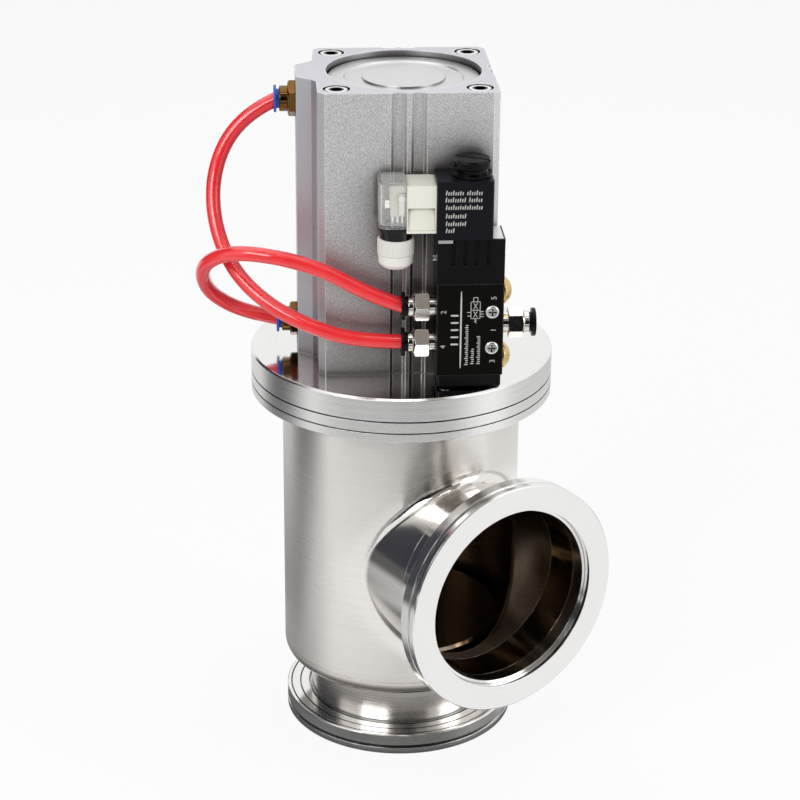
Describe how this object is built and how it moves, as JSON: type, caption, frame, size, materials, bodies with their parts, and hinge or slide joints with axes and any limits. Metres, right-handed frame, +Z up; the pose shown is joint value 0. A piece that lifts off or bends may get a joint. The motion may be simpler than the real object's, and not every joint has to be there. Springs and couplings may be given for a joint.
{
  "type": "pneumatic high vacuum angle valve",
  "caption": "Right-angle high vacuum poppet valve: flanged steel body, pneumatic cylinder on top, solenoid valve on its side and red air tubes.",
  "frame": {"origin": "centre of the lower port's flange face", "axes": "+Z up along the body, the disc's travel and the cylinder; the side port looks along -Y; the cylinder's valve side is turned 30 degrees from it about Z"},
  "size_m": [0.1961, 0.193, 0.3784],
  "materials": {
    "stainless_polished": "mirror polished, fine turning marks",
    "stainless_brushed": "fine brushed",
    "anodised_aluminium": "fine blasted, clear anodised",
    "machined_aluminium": "turned",
    "black_anodised": "satin black anodised",
    "black_plastic": "moulded, satin",
    "coil_plastic": "moulded, fine grain",
    "cream_plastic": "moulded, semi-gloss",
    "clear_plastic": "clear, glossy",
    "red_tube": "smooth polyurethane",
    "brass": "turned",
    "sintered_bronze": "grainy sintered",
    "bearing_bronze": "turned",
    "tinned_brass": "tin plated",
    "nickel": "bright nickel plated",
    "blue_plastic": "moulded, satin",
    "rubber_seal": "smooth fluorocarbon rubber",
    "steel_screw": "bright",
    "spring_steel": "bright wire and sheet",
    "zinc_steel": "zinc plated"
  },
  "bodies": {
    "valve": {"lower_flange": "stainless_polished", "side_flange": "stainless_polished", "lower_neck": "stainless_brushed", "side_neck": "stainless_brushed", "body_floor": "stainless_brushed", "body_wall": "stainless_brushed", "body_top_flange": "stainless_polished", "bonnet_plate": "stainless_polished", "bonnet_oring": "rubber_seal", "bonnet_screws": "steel_screw", "gland_bush": "bearing_bronze", "gland_orings": "rubber_seal", "gland_screws": "steel_screw", "cylinder_barrel": "anodised_aluminium", "cylinder_bolts": "steel_screw", "rear_cap": "machined_aluminium", "rear_cap_oring": "rubber_seal", "front_cover": "machined_aluminium", "front_cover_circlip": "spring_steel", "front_cover_oring": "rubber_seal", "rod_seal": "rubber_seal", "brass_fittings": "brass", "valve_block": "black_anodised", "valve_screws": "steel_screw", "end_cap": "black_plastic", "end_cap_screws": "steel_screw", "spool_spring": "spring_steel", "pilot_head": "black_plastic", "coil_plate": "zinc_steel", "armature_tube": "stainless_brushed", "coil": "coil_plastic", "coil_terminals": "tinned_brass", "coil_nut": "black_plastic", "connector_base": "cream_plastic", "connector_cover": "clear_plastic", "terminal_insert": "cream_plastic", "connector_screw": "steel_screw", "connector_gasket": "rubber_seal", "gland_nut": "cream_plastic", "cable_seal": "rubber_seal", "silencers": "sintered_bronze", "nickel_fittings": "nickel", "tube_upper": "red_tube", "tube_lower": "red_tube"},
    "poppet": {"valve_disc": "stainless_polished", "disc_oring": "rubber_seal", "disc_screw": "steel_screw", "valve_stem": "stainless_polished", "piston": "machined_aluminium", "piston_seals": "rubber_seal", "piston_nut": "steel_screw"},
    "override": {"override_button": "brass"},
    "spool": {"spool": "machined_aluminium"},
    "plunger": {"plunger": "stainless_brushed"},
    "upper_release": {"upper_collar": "blue_plastic"},
    "lower_release": {"lower_collar": "blue_plastic"},
    "port_a_release": {"port_a_collar": "black_plastic"},
    "port_b_release": {"port_b_collar": "black_plastic"},
    "supply_release": {"supply_collar": "black_plastic"}
  },
  "joints": [
    {"name": "poppet_lift", "type": "slide", "parent": "valve", "child": "poppet", "axis": [0, 0, 1], "range_m": [0, 0.1]},
    {"name": "override_press", "type": "slide", "parent": "valve", "child": "override", "axis": [0.866, -0.5, 0], "range_m": [0, 0.0012], "stiffness_N_per_m": 1500, "springref_m": -0.001},
    {"name": "spool_shift", "type": "slide", "parent": "valve", "child": "spool", "axis": [0, 0, -1], "range_m": [0, 0.0035], "stiffness_N_per_m": 1000, "springref_m": -0.002, "deforming": ["spool_spring"]},
    {"name": "plunger_lift", "type": "slide", "parent": "valve", "child": "plunger", "axis": [0, 0, 1], "range_m": [0, 0.001], "stiffness_N_per_m": 800, "springref_m": -0.001},
    {"name": "upper_collar_press", "type": "slide", "parent": "valve", "child": "upper_release", "axis": [0.866, -0.5, 0], "range_m": [0, 0.0012]},
    {"name": "lower_collar_press", "type": "slide", "parent": "valve", "child": "lower_release", "axis": [0.866, -0.5, 0], "range_m": [0, 0.0012]},
    {"name": "port_a_collar_press", "type": "slide", "parent": "valve", "child": "port_a_release", "axis": [0.866, -0.5, 0], "range_m": [0, 0.0012]},
    {"name": "port_b_collar_press", "type": "slide", "parent": "valve", "child": "port_b_release", "axis": [0.866, -0.5, 0], "range_m": [0, 0.0012]},
    {"name": "supply_collar_press", "type": "slide", "parent": "valve", "child": "supply_release", "axis": [-0.866, 0.5, 0], "range_m": [0, 0.0012]}
  ]
}
